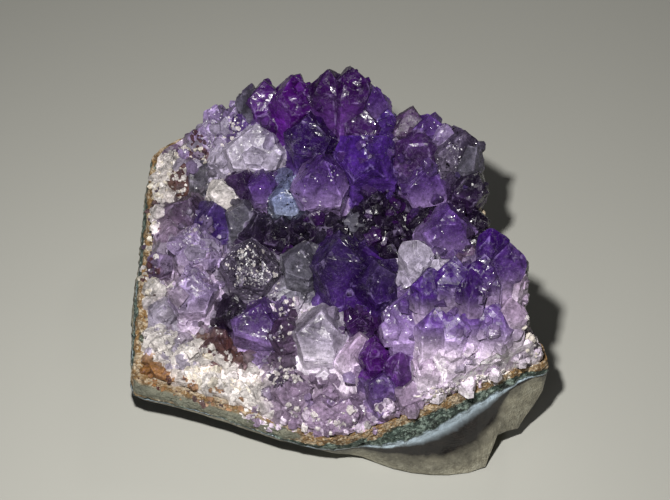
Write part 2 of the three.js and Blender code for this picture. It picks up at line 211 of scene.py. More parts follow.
# The crystals by zone: tip x, y, z, half width across the prism, lean of the axis along x and y,
# bearing of one of the three large faces, and tone
CRYSTALS: list[tuple[float, float, float, float, float, float, float, Tone]] = [
    # back left slope, from the pale corner to the ridge
    (-28, 31, 31, 5.6, 0.1, 0.1, 262, LILAC),
    (-28, 34.5, 32, 3.6, 0, 0.2, 240, LILAC),
    (-22.5, 32.5, 34.5, 4, 0, 0.15, 285, LILAC),
    (-21.5, 29.5, 34.5, 3.4, 0.05, 0, 250, VIOLET),
    (-19, 32.5, 39, 4, -0.05, 0.1, 215, SAGE),
    (-18, 22.5, 36, 6.4, 0.05, -0.12, 268, PALE),
    (-25.5, 23.5, 29, 4.2, 0.1, -0.1, 300, PALE),
    (-30, 22, 26, 4.2, 0.15, -0.05, 255, SAGE),
    (-35, 22.5, 24, 3.4, 0.2, 0, 285, RUST),
    (-34, 28, 26, 3.6, 0.1, 0.1, 250, MAUVE),
    (-39, 24, 22, 2.6, 0.2, 0, 250, MILK),
    (-41, 20, 20.5, 2.2, 0.2, 0, 290, MILK),
    # ridge at the back
    (-16, 32, 42, 4.6, -0.08, 0.1, 275, VIVID),
    (-13.5, 28.5, 38.5, 4.4, 0, -0.05, 262, VIVID),
    (-8.5, 29.5, 46, 5.6, 0, 0.1, 284, VIVID),
    (-1, 27.5, 50, 4.6, -0.04, 0.14, 250, PLUM),
    (4, 27.5, 51, 5.2, 0.04, 0.14, 278, PLUM),
    (9, 26, 47, 4.6, 0.16, 0.1, 300, VIOLET),
    (6, 22, 43.5, 4.6, 0.02, 0, 255, PLUM),
    (11.5, 22.5, 42.5, 3.8, 0.1, 0, 268, BLUE),
    (17, 22, 43.5, 4.6, 0.12, 0.1, 262, MAUVE),
    (21.5, 20, 43.5, 3.8, 0.1, 0.05, 285, VIOLET),
    (25, 18, 42.5, 2.8, 0.1, 0, 262, LILAC),
    (28.5, 15.5, 43.5, 5.4, 0.16, 0.02, 290, SMOKE),
    (31.5, 12, 41, 4.2, 0.3, 0.02, 330, SAGE),
    # large points of the middle row
    (-6, 20.5, 43, 6.2, -0.05, -0.08, 262, DEEP),
    (-3, 10.5, 38, 6.8, 0, -0.14, 276, VIOLET),
    (8, 14.5, 43, 7.4, 0.02, -0.06, 90, BLUE),
    (19.5, 15.5, 42.5, 6.6, 0.1, -0.1, 262, PLUM),
    (21, 9.5, 38, 6, 0.08, -0.2, 282, VIOLET),
    (31.5, 7, 38.5, 4.8, 0.2, -0.1, 250, DARK),
    (-16.5, 13, 31.5, 3.8, 0.05, -0.15, 270, VIOLET),
    (-21.5, 15, 30, 3.6, 0.1, -0.1, 240, PLUM),
    (-11, 9.5, 31.5, 5, 0, -0.2, 266, SILVER),
    (-25.5, 13, 28.5, 4.2, 0.1, -0.15, 284, MILK),
    # dark recess and its small points; their near-black tone is partly painted shade of the recess
    (5, 3, 30, 3.2, 0, -0.1, 250, SAGE),
    (13.5, 4.5, 33, 5.6, 0, -0.2, 300, DARK),
    (19, 1.5, 31.5, 3.6, 0, -0.1, 275, DARK),
    (9, 7, 31.5, 3.8, 0, -0.1, 262, DARK),
    (-17.5, 6.5, 26, 4.6, 0.05, -0.1, 300, DARK),
    (-12, 4.5, 26, 4.4, 0, -0.1, 255, DARK),
    (-6.5, 4, 28.5, 4.2, 0, -0.1, 280, DARK),
    (-1, 4, 27.5, 4.2, 0, -0.1, 262, DARK),
    (25, -3, 36.5, 6, 0.05, -0.1, 276, VIOLET),
    (13, -4, 27, 4, 0, -0.1, 250, DARK),
    (32, 2, 31, 3.4, 0.15, -0.05, 285, DARK),
    (33, -5, 32, 3.6, 0.1, 0, 255, DARK),
    (34, -11, 36, 3.2, 0.1, 0.1, 275, MAUVE),
    # left field
    (-21, 8, 26.5, 3.8, 0.1, -0.1, 262, SAGE),
    (-34, 12, 24.5, 6.6, 0.14, -0.05, 245, MAUVE),
    (-27, 8.5, 25.5, 4.6, 0.1, -0.1, 290, BLUE),
    (-41, 8.5, 19.5, 2.2, 0.2, -0.1, 262, MILK),
    (-37, 6, 21.5, 3.2, 0.2, -0.1, 285, ROSE),
    (-31, 0, 25.5, 6, 0.12, -0.1, 266, LILAC),
    (-31, -10, 23, 5.4, 0.08, -0.15, 275, LILAC),
    (-40.5, -1, 19, 3.2, 0.1, -0.05, 250, MAUVE),
    (-40, -8, 18.5, 2.6, 0.2, -0.1, 290, MILK),
    (-38, -13, 17.5, 3.4, 0.15, -0.1, 262, PALE),
    (-18.5, -6, 27, 7, 0.05, -0.15, 264, SMOKE),
    (-23, -15, 20, 4, 0, -0.1, 290, DARK),
    (-16, -18, 22, 6.2, 0.05, -0.1, 255, VIOLET),
    (-10.5, -21.5, 21.5, 4.4, 0, -0.1, 285, MAUVE),
    (-25.5, -23, 17.5, 4.2, 0.1, -0.1, 262, RUST),
    (-37.5, -22, 15.5, 3, 0.1, 0, 250, MILK),
    (-32, -24, 15, 3, 0.1, 0, 285, MILK),
    (-26.5, -29.5, 13.5, 2.6, 0.1, 0, 262, MILK),
    (-19.5, -34, 13.5, 2.8, 0, 0, 275, MILK),
    (-41, -28, 13.8, 2, 0.1, 0, 240, IRON),
    # the large dark point of the middle and what stands round it
    (2, -9, 33, 9, -0.02, -0.12, 272, DEEP),
    (-7, -6.5, 28, 5.2, 0, -0.1, 250, SAGE),
    (9.5, -14, 31.5, 5, 0.05, -0.1, 290, DEEP),
    (5.5, -22.5, 24, 3.2, 0, -0.1, 262, PLUM),
    (-3.5, -24, 25.5, 6.4, 0, -0.1, 264, ICE),
    (5.5, -27, 23.5, 5.6, 0, -0.05, 276, FAIR),
    (-9.5, -33, 17.5, 4.6, 0, 0, 285, ROSE),
    (-3, -38, 16, 4.2, 0, 0.1, 262, ROSE),
    (2.5, -39, 17, 4, 0, 0.1, 250, ROSE),
    (9, -30, 25.5, 3.4, 0, 0, 275, VIVID),
    (10.5, -35, 21.5, 4.4, 0, 0.1, 262, VIOLET),
    (15, -31, 27.5, 4.2, 0, 0.15, 285, VIVID),
    # columns of the front right, seen from the side
    (15.5, -25.5, 37, 6, -0.05, 0.22, 262, VIOLET),
    (17, -13.5, 39.5, 3.6, -0.08, 0.1, 90, PALE),
    (20.5, -22.5, 42, 4.6, 0, 0.4, 275, COLUMN),
    (24.5, -21.5, 44, 4.6, 0, 0.45, 262, COLUMN),
    (28.5, -24, 43, 4.2, 0.04, 0.5, 284, COLUMN_DEEP),
    (31.5, -21.5, 44.5, 4.8, 0.05, 0.5, 262, COLUMN_DEEP),
    (33.5, -14.5, 45, 3.6, 0.1, 0.3, 300, COLUMN),
    (36.5, -20, 46, 5, 0.1, 0.4, 280, COLUMN_DEEP),
    (37.5, -22.5, 43, 3.4, 0.1, 0.4, 262, FAIR),
    (21.5, -28.5, 36.5, 4, 0, 0.4, 270, COLUMN_MID),
    (25.5, -29, 37, 4.2, 0.02, 0.42, 255, COLUMN_MID),
    (29.5, -28.5, 38, 4, 0.04, 0.42, 285, COLUMN_MID),
    (34, -29, 38, 4.2, 0.06, 0.4, 262, COLUMN_MID),
    (36.8, -28, 38.5, 3.8, 0.08, 0.35, 290, FAIR),
    (20.5, -33, 29, 4.2, 0, 0.3, 262, FAIR),
    (25, -32.5, 31, 4.4, 0.02, 0.35, 280, BLUSH),
    (30.5, -31.5, 31.5, 4.4, 0.04, 0.35, 262, BLUSH),
    (35, -31.5, 32, 4.2, 0.06, 0.3, 275, BLUSH),
    (38.8, -30, 32, 3.6, 0.1, 0.25, 255, BLUSH),
    (16.5, -38.5, 22, 3.8, 0, 0.1, 270, ROSE),
    (22, -36.5, 23.5, 4, 0, 0.2, 255, BLUSH),
    (27.5, -35.5, 25, 4.2, 0, 0.2, 285, BLUSH),
    (32.5, -34.5, 26.5, 4, 0, 0.2, 262, BLUSH),
    (38, -33, 27, 3.6, 0, 0.15, 285, BLUSH),
    (42, -30.5, 26.5, 3, 0.1, 0.1, 262, BLUSH),
]


# Points that are broken at the top: row of the table, lean of the broken face along x and y, and how
# far below the tip it passes
BREAKS: dict[int, tuple[float, float, float]] = {
    5: (-0.1, -0.75, 2.6), 12: (0, -0.2, 1.5), 14: (0.1, -0.3, 2), 25: (0, -0.5, 1.6),
    27: (0.1, -0.35, 2.2), 28: (-0.1, -0.3, 1.8), 33: (0.1, -0.6, 1.4), 34: (-0.1, -0.5, 1.2),
    43: (0.1, -0.5, 1.4), 53: (0.1, -0.6, 1.8), 54: (-0.1, -0.8, 1.5), 58: (0.1, -0.7, 3),
    60: (-0.1, -0.9, 1.8), 68: (0.15, -0.25, 2.6), 72: (0.05, -0.6, 2.4), 73: (0.25, -0.9, 1.8),
    80: (-0.35, -0.9, 1.8),
}


@dataclass(frozen=True)
class DruseZone:
    """A patch of small crystals: middle, radii and turn in plan, number, half widths and tones.

    The patch is sown along a ray from above, or from above the front where slant is given.
    """

    x: float
    y: float
    radius_x: float
    radius_y: float
    turn: float
    count: int
    smallest: float
    largest: float
    tones: tuple[Tone, ...]
    slant: float = 0.0
    share: float = 0.15


ZONES = tuple(DruseZone(*row) for row in (
    # cream crumbs of the back left corner and the left edge
    (-38.5, 22.5, 4.2, 7.5, 0, 170, 0.35, 1.0, (CREAM, MILK, MILK)),
    (-33, 25, 3.5, 4, 0, 50, 0.4, 0.9, (RUST, CREAM)),
    (-42, 3, 1.9, 19, 0, 100, 0.3, 0.9, (CREAM, RUST, MAUVE, MILK)),
    # white crumbly shelf of the front left
    (-36, -21.8, 7.2, 4.6, -23, 300, 0.35, 1.5, (MILK, MILK, PALE)),
    (-25, -29, 9.5, 4.2, -22, 300, 0.35, 1.5, (MILK, MILK, CREAM)),
    (-32, -32, 13, 3, -19, 90, 0.3, 0.9, (IRON, RUST, IRON)),
    (-11, -30.5, 4, 4, 0, 90, 0.3, 0.9, (MILK, SMOKE)),
    (-12, -39, 9, 2.8, -12, 130, 0.35, 1.0, (MILK, ROSE, BLUSH)),
    (4, -42, 10, 1.8, 4, 120, 0.35, 0.9, (ROSE, BLUSH, MILK)),
    # white bases along the rim of the front right
    (31, -33.4, 13, 2, 17, 7, 0.9, 1.5, (BLUSH, BLUSH, LILAC), 0.7, 0.6),
    (30, -38, 15, 1.6, 17, 220, 0.25, 0.75, (MILK, BLUSH, CREAM), 0.7),
    (42, -28.5, 2.5, 4, 0, 50, 0.3, 0.7, (MILK, CREAM), 0.3),
    # glittering skins on single points
    (-18.5, -7, 6, 6, 0, 170, 0.22, 0.5, (SMOKE, SMOKE, MILK)),
    (-24.5, 27, 3.5, 3, 0, 60, 0.25, 0.6, (MILK, PALE)),
    # short points on the flank of the columns
    (29, -28, 13, 6, 15, 8, 0.9, 2.0, (LILAC, BLUSH), 0.8, 0.85),
    (24, -22, 12, 5, 10, 6, 0.9, 2.2, (VIOLET, LILAC), 0.4, 0.7),
    # dark recess: near-black small points, partly painted shade
    (6, 1.5, 18, 2.8, 0, 45, 0.9, 2.2, (DARK, PLUM, DARK)),
    # frosted tops and white beads of the left field
    (-31, 1.5, 4.4, 4, 0, 70, 0.22, 0.55, (LILAC, PALE, MILK), 0.0, 0.4),
    (-9.5, -15, 5, 1.6, -14, 40, 0.3, 0.65, (MILK, BLUSH)),
    (-12, -26, 4, 4.5, -30, 50, 0.25, 0.6, (MILK, PALE)),
    # short points on the flanks of the left field and of the ridge
    (-33, -5, 8, 15, 0, 75, 0.7, 2.1, (LILAC, ROSE, LILAC, PALE), 0.0, 0.55),
    (-30, 26, 7, 6, 0, 25, 0.7, 1.8, (LILAC, PALE, PALE), 0.0, 0.3),
    (12, 14, 20, 8, -20, 26, 0.7, 1.9, (VIOLET, PLUM, BLUE), 0.4, 0.6),
    (-4, -34, 11, 5, -5, 14, 0.8, 2.2, (ROSE, LILAC, ROSE), 0.0, 0.5),
))


@dataclass
class QuartzPoint:
    """One quartz point: a six-sided prism closed by three large and three small faces.

    The share says how much of the colour of its surroundings it takes, broken gives the lean and
    the depth of a broken face, and stem is the tip that the colour fades from, if not its own.
    """

    tip: Vector
    half: float
    axis: Vector
    bearing: float
    seed: float
    length: float
    tone: Tone
    share: float = 0.25
    broken: tuple[float, float, float] | None = None
    stem: Vector | None = None

    def planes(self) -> list[tuple[Vector, float]]:
        """Works out the prism and the end faces.

        Returns:
            An outward direction and a distance from the tip for each face, upright.
        """
        found = []
        for k in range(6):
            turn = math.radians(self.bearing + 60 * k)
            side = Vector((math.cos(turn), math.sin(turn), 0))
            found.append((side, self.half * between(PRISM_REACH, scatter(self.seed * 13 + k))))
            face = Vector((side.x * math.cos(FACE_TO_AXIS), side.y * math.cos(FACE_TO_AXIS),
                           math.sin(FACE_TO_AXIS)))
            shift, salt = (SMALL_SHIFT, 17) if k % 2 else (LARGE_SHIFT, 19)
            found.append((face, self.half * between(shift, scatter(self.seed * salt + k))))
        if self.broken:
            flat = Vector((self.broken[0], self.broken[1], 1)).normalized()
            found.append((self.turned().to_3x3().inverted() @ flat, -self.broken[2]))
        return found

    def turned(self) -> Matrix:
        """Gives the matrix that leans and places an upright point."""
        lean = Vector((0, 0, 1)).rotation_difference(self.axis)
        return Matrix.Translation(self.tip) @ lean.to_matrix().to_4x4()

    def body(self) -> bmesh.types.BMesh:
        """Cuts the point out of a block, one plane a face.

        Returns:
            A closed upright bmesh with the tip at the origin, in millimetres.
        """
        bm = bmesh.new()
        bmesh.ops.create_cube(bm, size=1.0)
        bmesh.ops.scale(bm, vec=(4 * self.half, 4 * self.half, self.length + 2), verts=bm.verts)
        bmesh.ops.translate(bm, vec=(0, 0, 1 - self.length / 2), verts=bm.verts)
        for normal, reach in self.planes():
            trim(bm, normal * reach, normal)
        bmesh.ops.recalc_face_normals(bm, faces=bm.faces)
        return bm

    def chamfer(self, bm: bmesh.types.BMesh, widths: tuple[float, float]) -> None:
        """Takes a worn chamfer of its own width off each edge.

        Args:
            bm: The upright point.
            widths: The narrowest chamfer, and the widest, which is rare.
        """
        cuts = []
        for i, edge in enumerate(bm.edges):
            one, other = (f.normal for f in edge.link_faces)
            if one.z < -0.5 or other.z < -0.5:
                continue
            width = between(widths, scatter(self.seed * 5 + i * 3) ** 5)
            depth = width * math.tan(one.angle(other) / 2) / 2
            normal = (one + other).normalized()
            cuts.append((edge.verts[0].co - normal * depth, normal))
        for place, normal in cuts:
            trim(bm, place, normal)
        bmesh.ops.recalc_face_normals(bm, faces=bm.faces)


def trim(bm: bmesh.types.BMesh, place: Vector, normal: Vector) -> None:
    """Cuts a convex body by a plane and closes it.

    Args:
        bm: The body.
        place: A point of the plane.
        normal: The side that goes.
    """
    cut = bmesh.ops.bisect_plane(
        bm, geom=[*bm.verts, *bm.edges, *bm.faces], plane_co=place, plane_no=normal,
        clear_outer=True, dist=1e-5)
    edges = [g for g in cut["geom_cut"] if isinstance(g, bmesh.types.BMEdge)]
    if len(edges) > 2:
        bmesh.ops.contextual_create(bm, geom=edges)


def large_points() -> list[QuartzPoint]:
    """Gives the points of the table in the part's own frame, in millimetres."""
    found = []
    for i, (x, y, z, half, lean_x, lean_y, bearing, tone) in enumerate(CRYSTALS):
        axis = Vector((lean_x, lean_y, 1)).normalized()
        found.append(QuartzPoint(Vector((x, y, z)) - MIDDLE, half, axis, bearing, i + 1,
                                 LENGTH_BY_HALF * half + LENGTH_MORE, tone,
                                 broken=BREAKS.get(i)))
    return found


def cad_copy(node: str) -> bmesh.types.BMesh:
    """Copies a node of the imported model, with its doubles merged.

    Args:
        node: The node's name.

    Returns:
        A bmesh in millimetres.
    """
    bm = bmesh.new()
    bm.from_mesh(frame["nodes"][node].data)
    bmesh.ops.transform(bm, matrix=Matrix.Scale(1 / MM, 4), verts=bm.verts)
    bmesh.ops.remove_doubles(bm, verts=bm.verts, dist=1e-4)
    return bm


def mesh_of(bm: bmesh.types.BMesh, name: str) -> bpy.types.Mesh:
    """Turns a bmesh into a mesh and frees it."""
    mesh = bpy.data.meshes.new(name)
    bm.to_mesh(mesh)
    bm.free()
    return mesh


def values_of(data: bpy.types.bpy_prop_collection, name: str, width: int = 1,
              kind: type = float) -> np.ndarray:
    """Reads a value of every element of a mesh.

    Args:
        data: Its vertices, faces or corners, or the data of an attribute.
        name: The value's name.
        width: How many numbers a value has.
        kind: The type of the numbers.

    Returns:
        One number or one row for each element.
    """
    found = np.empty(len(data) * width, dtype=kind)
    data.foreach_get(name, found)
    return found.reshape(-1, width) if width > 1 else found


def mark(mesh: bpy.types.Mesh, name: str, values: list | np.ndarray, kind: str = "FLOAT",
         domain: str = "POINT") -> None:
    """Writes a value on every element of a mesh as an attribute.

    Args:
        mesh: The mesh.
        name: The attribute's name.
        values: One number for each element.
        kind: The type of the attribute.
        domain: The elements that hold it.
    """
    mesh.attributes.new(name, kind, domain).data.foreach_set("value", values)


def split_long_edges(bm: bmesh.types.BMesh, longest: float, rounds: int,
                     lowest: float | None = None) -> None:
    """Splits every edge over a length in halves, and keeps the faces triangles.

    Args:
        bm: The mesh.
        longest: The greatest length, in millimetres.
        rounds: How often it halves them at most.
        lowest: Where given, edges stay whose faces both look down by more than this.
    """
    for _ in range(rounds):
        if lowest is not None:
            bm.normal_update()
        long = [e for e in bm.edges if e.calc_length() > longest
                and (lowest is None or any(f.normal.z > lowest for f in e.link_faces))]
        if not long:
            break
        bmesh.ops.subdivide_edges(bm, edges=long, cuts=1, use_grid_fill=False)
        bmesh.ops.triangulate(bm, faces=[f for f in bm.faces if len(f.verts) > 3])
    bm.normal_update()


def put(name: str, data: bpy.types.ID) -> bpy.types.Object:
    """Makes an object of its data and links it to the scene."""
    made = bpy.data.objects.new(name, data)
    bpy.context.scene.collection.objects.link(made)
    return made


def finish_piece(
    name: str, mesh: bpy.types.Mesh, material: bpy.types.Material, node: str
) -> bpy.types.Object:
    """Makes a scene object of a mesh in millimetres and ties it to the frame.

    Args:
        name: The piece's name.
        mesh: Its mesh.
        material: Its material.
        node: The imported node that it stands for.

    Returns:
        The new object.
    """
    mesh.transform(Matrix.Scale(MM, 4))
    mesh.name = name
    mesh.materials.clear()
    mesh.materials.append(material)
    piece = put(name, mesh)
    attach(piece, BODY)
    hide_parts(node)
    LOG.info("%s: %d faces", name, len(mesh.polygons))
    return piece


# The noises of the quartz and of the rind: size of the largest features in millimetres, number of
# finer layers, their strength, and swirl
QUARTZ_NOISES: dict[str, tuple[float, float, float, float]] = {
    "cloud": (3.6, 3, 0.55, 0.8),
    "mottle": (0.7, 4, 0.7, 0.5),
    "crack": (4.5, 4, 0.6, 1.6),
    "patch": (4.2, 3, 0.6, 0),
    "stroke": (1.0, 2, 0.5, 2.5),
    "scratch_glint": (3.0, 4, 0.65, 0),
    "chipped_glinting_edge": (2.2, 4, 0.7, 0),
    "milky_seam": (7.0, 3, 0.6, 0),
    "hillock": (1.3, 3, 0.5, 0),
}
RIND_NOISES: dict[str, tuple[float, float, float, float]] = {
    "wide": (5.5, 4, 0.55, 0),
    "mottle": (1.8, 6, 0.7, 0),
    "stain": (1.6, 5, 0.7, 0.6),
}


@dataclass(frozen=True)
class AmethystFinish:
    """Violet quartz with glassy growth faces: clear at heart, cloudy where veils cross it.

    The tone attribute holds the colour of each point and its fading to the root, with painted
    shade in the crevices, painted highlight on the ridges and painted light and shade of each face;
    the habit attribute holds its clearness, glitter, frost and worn edges, which are painted pale,
    partly as highlight, and growth the distance to its tip. Glittering faces get painted white
    glints.
    """

    name: str = "amethyst_quartz"
    absorption: str = "#9a62c0"
    density: float = 60.0
    veil: str = "#cbb9e0"
    # near-white of the painted glints on chips
    chip: str = "#f0ecf6"
    # lift of the pale worn edges, seams and scratches, partly painted highlight
    pale_and_highlight_lift: tuple[float, float, float] = (0.15, 0.13, 0.19)
    brightest: float = 0.92
    grain_mm: float = 0.36
    spall_mm: float = 1.1
    seam_mm: tuple[float, float] = (0.08, 0.3)
    stria_mm: float = 0.6
    stria_height: float = 0.006
    stria_swirl: float = 14.0
    relief: float = 0.26
    relief_mm: float = 0.3
    specular: float = 0.16

    def material(self) -> bpy.types.Material:
        """Builds the material.

        Returns:
            A material that reads the tone, habit, growth and to_crevice attributes.
        """
        mat, add = new_material(self.name)
        where = add("TexCoord").outputs["Object"]
        tone = add("Attribute", attribute_name="tone")
        habit = add("Attribute", attribute_name="habit")
        clear, glitter, frost = add("SeparateColor", (habit,)).outputs[:3]
        worn = habit.outputs["Alpha"]
        growth, to_crevice = (add("Attribute", attribute_name=name).outputs["Fac"]
                              for name in ("growth", "to_crevice"))
        noises = {
            name: add("TexNoise", {"Vector": where, "Scale": 1 / (size * MM), "Detail": detail,
                                   "Roughness": strength, "Distortion": swirl})
            for name, (size, detail, strength, swirl) in QUARTZ_NOISES.items()}
        grain, spall = (add("TexVoronoi", {"Vector": where, "Scale": 1 / (size * MM)})
                        for size in (self.grain_mm, self.spall_mm))
        # thin sheets and strokes lie where a noise crosses its middle value
        sheet, stroke = (
            add("Math", (add("Math", (noises[name], 0.5), operation="SUBTRACT"),),
                operation="ABSOLUTE") for name in ("crack", "stroke"))

        # colour zones: darker and paler clouds inside each point, and a fine mottle of its faces
        dim = add("Math", (add("MapRange", (noises["cloud"], 0.3, 0.68, 0.55, 1.4)),
                           add("MapRange", (noises["mottle"], 0.3, 0.7, 0.55, 1.5))),
                  operation="MULTIPLY")
        zoned = add("VectorMath", {0: tone, "Scale": dim}, operation="SCALE")
        held = add("VectorMath", (zoned, (self.brightest,) * 3), operation="MINIMUM")
        # painted glints: chips of a fraction of a millimetre painted near white, standing in for the
        # flashes of light they catch
        patchy = add("Math", (glitter, 0.2, noises["patch"]), operation="MULTIPLY_ADD")
        few = add("MapRange", (patchy, 0.62, 0.85, 1, 0.9))
        lot = add("SeparateColor", (grain.outputs["Color"],))
        glint_chips = add("Math", (lot, few), operation="GREATER_THAN")
        white = add("Math", (glint_chips, add("MapRange", (glitter, 0, 0.35, 0.2, 0.85))),
                    operation="MULTIPLY")
        # worn edges, milky seams between points and fine scratches are pale, here and there; on the
        # worn edges and the scratches this is partly painted highlight
        pale = 0.0
        for strength, patch in (
            ((worn, 0.72, 0.95), (noises["chipped_glinting_edge"], 0.52, 0.64, 0.03, 0.7)),
            ((to_crevice, *self.seam_mm, 1, 0), (noises["milky_seam"], 0.56, 0.66, 0, 0.8)),
            ((stroke, 0, 0.02, 0.8, 0), (noises["scratch_glint"], 0.58, 0.68)),
        ):
            both = add("Math", (add("MapRange", strength), add("MapRange", patch)),
                       operation="MULTIPLY")
            pale = add("Math", (pale, both), operation="MAXIMUM")
        pale_and_highlight = add("VectorMath", (tone, (2, 2, 2), self.pale_and_highlight_lift), operation="MULTIPLY_ADD")
        # healed cracks first, then the painted glint chips and the pale edges, partly painted
        # highlight, over them
        colour = held
        for factor, over in (
            (add("MapRange", (sheet, 0, 0.012, 0.14, 0)), srgb(self.veil)),
            (white, srgb(self.chip)), (pale, pale_and_highlight),
        ):
            colour = add("Mix", {"Factor": factor, "A": colour, "B": over}, data_type="RGBA")

        # growth lines across the prism, and hillocks on every face
        swirl = add("Math", (noises["crack"], self.stria_swirl), operation="MULTIPLY")
        waves = add("Math", (growth, 2 * math.pi / self.stria_mm, swirl),
                    operation="MULTIPLY_ADD")
        lines = add("Math", (waves,), operation="SINE")
        height = add("Math", (lines, self.stria_height, noises["hillock"]),
                     operation="MULTIPLY_ADD")
        # each grain and spall of a glittering face is turned a little by itself
        turned = add("VectorMath", (grain.outputs["Color"], spall.outputs["Color"]),
                     operation="ADD")
        tilts = add("VectorMath", (turned, (1, 1, 1)), operation="SUBTRACT")
        rare = add("Math", (add("VectorMath", (tilts,), operation="LENGTH"), 3),
                   operation="POWER")
        sway = add("VectorMath", {
            0: tilts, "Scale": add("Math", (glitter, rare), operation="MULTIPLY")},
            operation="SCALE")
        facing = add("VectorMath", (add("NewGeometry").outputs["Normal"], sway),
                     operation="ADD")
        bump = add("Bump", {
            "Height": height, "Normal": add("VectorMath", (facing,), operation="NORMALIZE"),
            "Strength": self.relief, "Distance": self.relief_mm * MM})

        # frost and wear are matt, and strongly turned grains are small clean faces that flash
        rubbed = add("Math", (worn, 0.05), operation="MULTIPLY")
        matt = add("Math", (frost, noises["patch"], rubbed), operation="MULTIPLY_ADD")
        gloss = add("Math", (add("MapRange", (matt, 0, 0.4, 0.2, 0.6)),
                             add("MapRange", (rare, 0.5, 1.2, 1, 0.4))), operation="MULTIPLY")
        # the painted glint chips are cloudy, so nothing shines through them
        solid = add("Math", (glint_chips, pale), operation="MAXIMUM")
        through = add("Math", (clear, add("Math", (1, solid), operation="SUBTRACT")),
                      operation="MULTIPLY")
        shader = add("BsdfPrincipled", {
            "Base Color": colour, "Roughness": gloss, "Specular IOR Level": self.specular,
            "IOR": QUARTZ_IOR, "Transmission Weight": through, "Normal": bump})
        inside = add("VolumeAbsorption", (srgb(self.absorption), self.density))
        add("OutputMaterial", (shader, inside))
        return mat


